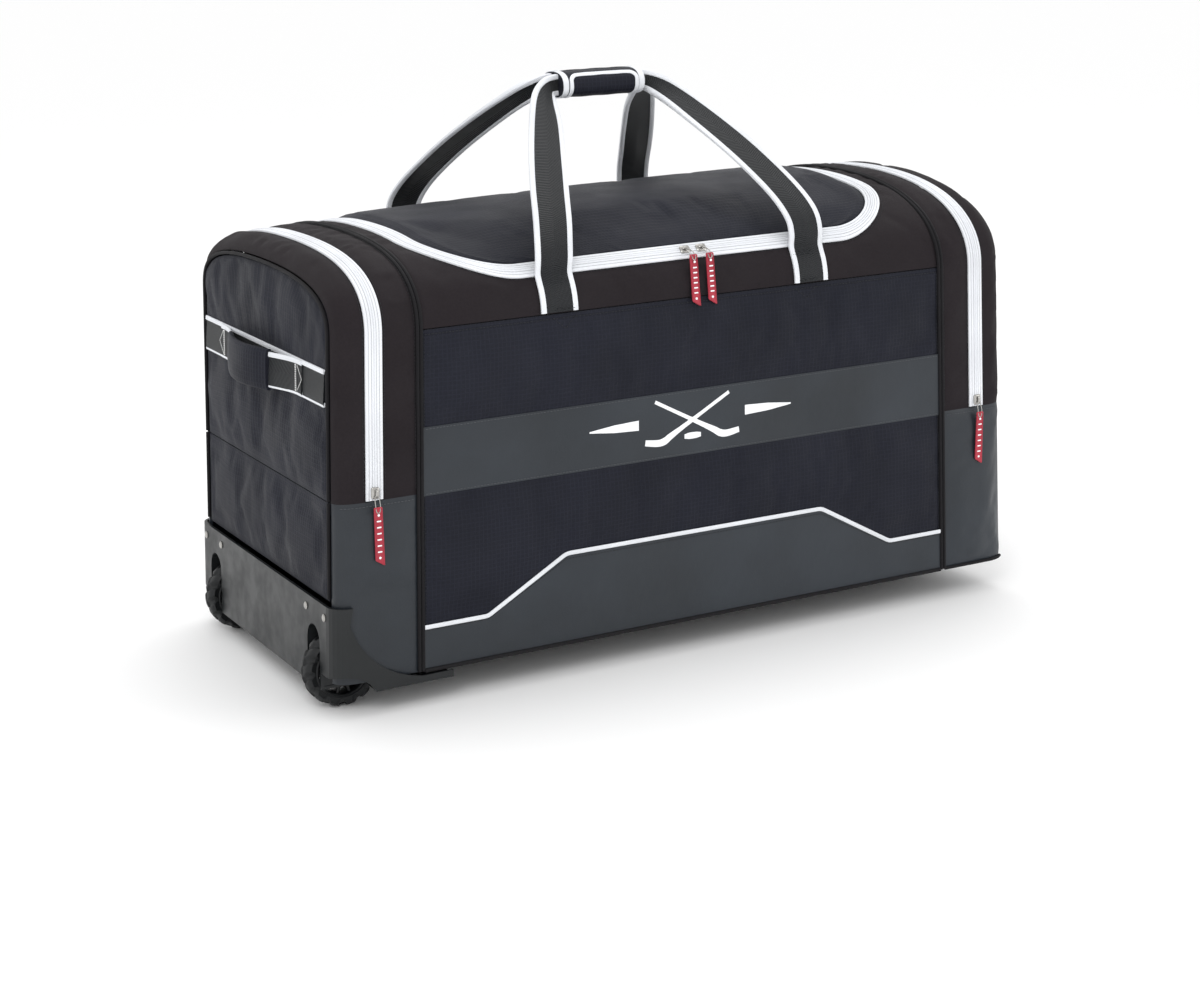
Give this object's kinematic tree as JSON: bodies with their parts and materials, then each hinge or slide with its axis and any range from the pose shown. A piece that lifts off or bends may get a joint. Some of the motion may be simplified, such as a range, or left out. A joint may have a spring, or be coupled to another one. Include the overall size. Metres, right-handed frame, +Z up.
{
  "type": "wheeled hockey equipment bag",
  "caption": "Boxy wheeled holdall for hockey gear, with a zipped lid, two zipped end pockets, carry handles and a moulded wheel guard.",
  "frame": {"origin": "middle of the bag's bounding box, on the floor it stands on", "axes": "+X along the bag away from its wheels, +Y towards the back, +Z up; the front with the coated band faces -Y"},
  "size_m": [0.9576, 0.4509, 0.684],
  "materials": {
    "ripstop": "textured nylon, matt with a faint sheen",
    "plain": "plain woven polyester, matt",
    "coated": "coated cloth with a soft leathery sheen",
    "white_tape": "woven zip tape and piping, matt white",
    "webbing": "ribbed polypropylene webbing",
    "lining": "plain nylon lining",
    "board": "matt board",
    "guard_plastic": "moulded plastic, fine satin texture",
    "wheel_plastic": "moulded plastic, satin",
    "tyre_rubber": "matt rubber with moulded tread",
    "steel": "bright zinc-plated steel",
    "nickel": "bright nickel plate",
    "red_rubber": "soft moulded rubber, satin"
  },
  "bodies": {
    "root": {"front_panel": "ripstop", "back_panel": "ripstop", "front_band": "coated", "front_skirt": "coated", "front_piping": "white_tape", "bottom_panel": "coated", "base_board": "board", "left_divider": "lining", "right_divider": "lining", "top_front_panel": "plain", "top_left_panel": "plain", "top_right_panel": "plain", "top_back_panel": "plain", "left_gusset": "plain", "right_gusset": "plain", "left_corner_front": "coated", "left_corner_back": "coated", "right_corner_front": "coated", "right_corner_back": "coated", "left_end_panel_lower": "ripstop", "right_end_panel_lower": "ripstop", "main_zip_tape_body": "white_tape", "left_zip_tape_body": "white_tape", "right_zip_tape_body": "white_tape", "wheel_guard": "guard_plastic", "guard_rivets": "nickel", "front_axle": "steel", "back_axle": "steel", "skid_foot": "guard_plastic"},
    "lid": {"lid_panel": "ripstop", "main_zip_tape_lid": "white_tape"},
    "front_handle": {"front_handle_strap": "webbing", "front_handle_wrap": "ripstop"},
    "back_handle": {"back_handle_strap": "webbing", "back_handle_wrap": "ripstop"},
    "left_end_flap": {"left_end_panel": "ripstop", "left_end_rim": "plain", "left_zip_tape_flap": "white_tape", "grab_handle_base": "webbing", "grab_handle_strap": "webbing", "grab_handle_pad": "coated"},
    "right_end_flap": {"right_end_panel": "ripstop", "right_end_rim": "plain", "right_zip_tape_flap": "white_tape"},
    "front_wheel": {"front_wheel_tyre": "tyre_rubber", "front_wheel_hub": "wheel_plastic", "front_wheel_bush": "steel"},
    "back_wheel": {"back_wheel_tyre": "tyre_rubber", "back_wheel_hub": "wheel_plastic", "back_wheel_bush": "steel"},
    "main_left_slider": {"main_left_slider": "nickel"},
    "main_left_pull": {"main_left_pull": "red_rubber"},
    "main_right_slider": {"main_right_slider": "nickel"},
    "main_right_pull": {"main_right_pull": "red_rubber"},
    "left_end_slider": {"left_end_slider": "nickel"},
    "left_end_pull": {"left_end_pull": "red_rubber"},
    "right_end_slider": {"right_end_slider": "nickel"},
    "right_end_pull": {"right_end_pull": "red_rubber"}
  },
  "joints": [
    {"name": "lid_open", "type": "hinge", "parent": "root", "child": "lid", "pos_m": [0, 0.19668, 0.48613], "axis": [-1, 0, 0], "range_deg": [0, 80]},
    {"name": "front_handle_swing", "type": "hinge", "parent": "root", "child": "front_handle", "pos_m": [0, -0.2075, 0.4795], "axis": [1, 0, 0], "range_deg": [0, 128]},
    {"name": "back_handle_swing", "type": "hinge", "parent": "root", "child": "back_handle", "pos_m": [0, 0.2075, 0.4795], "axis": [-1, 0, 0], "range_deg": [0, 112]},
    {"name": "left_end_open", "type": "hinge", "parent": "root", "child": "left_end_flap", "pos_m": [-0.45066, 0, 0.25], "axis": [0, -1, 0], "range_deg": [0, 120]},
    {"name": "right_end_open", "type": "hinge", "parent": "root", "child": "right_end_flap", "pos_m": [0.46866, 0, 0.25], "axis": [0, 1, 0], "range_deg": [0, 120]},
    {"name": "front_wheel_spin", "type": "hinge", "parent": "root", "child": "front_wheel", "pos_m": [-0.434, -0.163, 0.045], "axis": [0, 1, 0], "continuous": true},
    {"name": "back_wheel_spin", "type": "hinge", "parent": "root", "child": "back_wheel", "pos_m": [-0.434, 0.163, 0.045], "axis": [0, 1, 0], "continuous": true},
    {"name": "main_left_slider_run", "type": "slide", "parent": "lid", "child": "main_left_slider", "axis": [-1, 0, 0], "range_m": [0, 0.13]},
    {"name": "main_right_slider_run", "type": "slide", "parent": "lid", "child": "main_right_slider", "axis": [1, 0, 0], "range_m": [0, 0.095]},
    {"name": "left_end_slider_run", "type": "slide", "parent": "root", "child": "left_end_slider", "axis": [0.0423, 0, 0.9991], "range_m": [0, 0.165]},
    {"name": "right_end_slider_run", "type": "slide", "parent": "root", "child": "right_end_slider", "axis": [-0.0423, 0, 0.9991], "range_m": [0, 0.165]},
    {"name": "main_left_pull_swing", "type": "hinge", "parent": "main_left_slider", "child": "main_left_pull", "pos_m": [0.0085, -0.20301, 0.48913], "axis": [-1, 0, 0], "range_deg": [0, 110]},
    {"name": "main_right_pull_swing", "type": "hinge", "parent": "main_right_slider", "child": "main_right_pull", "pos_m": [0.0305, -0.20301, 0.48913], "axis": [-1, 0, 0], "range_deg": [0, 110]},
    {"name": "left_end_pull_swing", "type": "hinge", "parent": "left_end_slider", "child": "left_end_pull", "pos_m": [-0.40476, -0.2266, 0.258], "axis": [-1, 0, 0], "range_deg": [0, 110]},
    {"name": "right_end_pull_swing", "type": "hinge", "parent": "right_end_slider", "child": "right_end_pull", "pos_m": [0.42276, -0.2266, 0.258], "axis": [-1, 0, 0], "range_deg": [0, 110]}
  ],
  "couplings": [
    {"joint": "front_handle_swing", "follows": "lid_open", "ratio": 1.6},
    {"joint": "back_handle_swing", "follows": "lid_open", "ratio": 1.4}
  ]
}
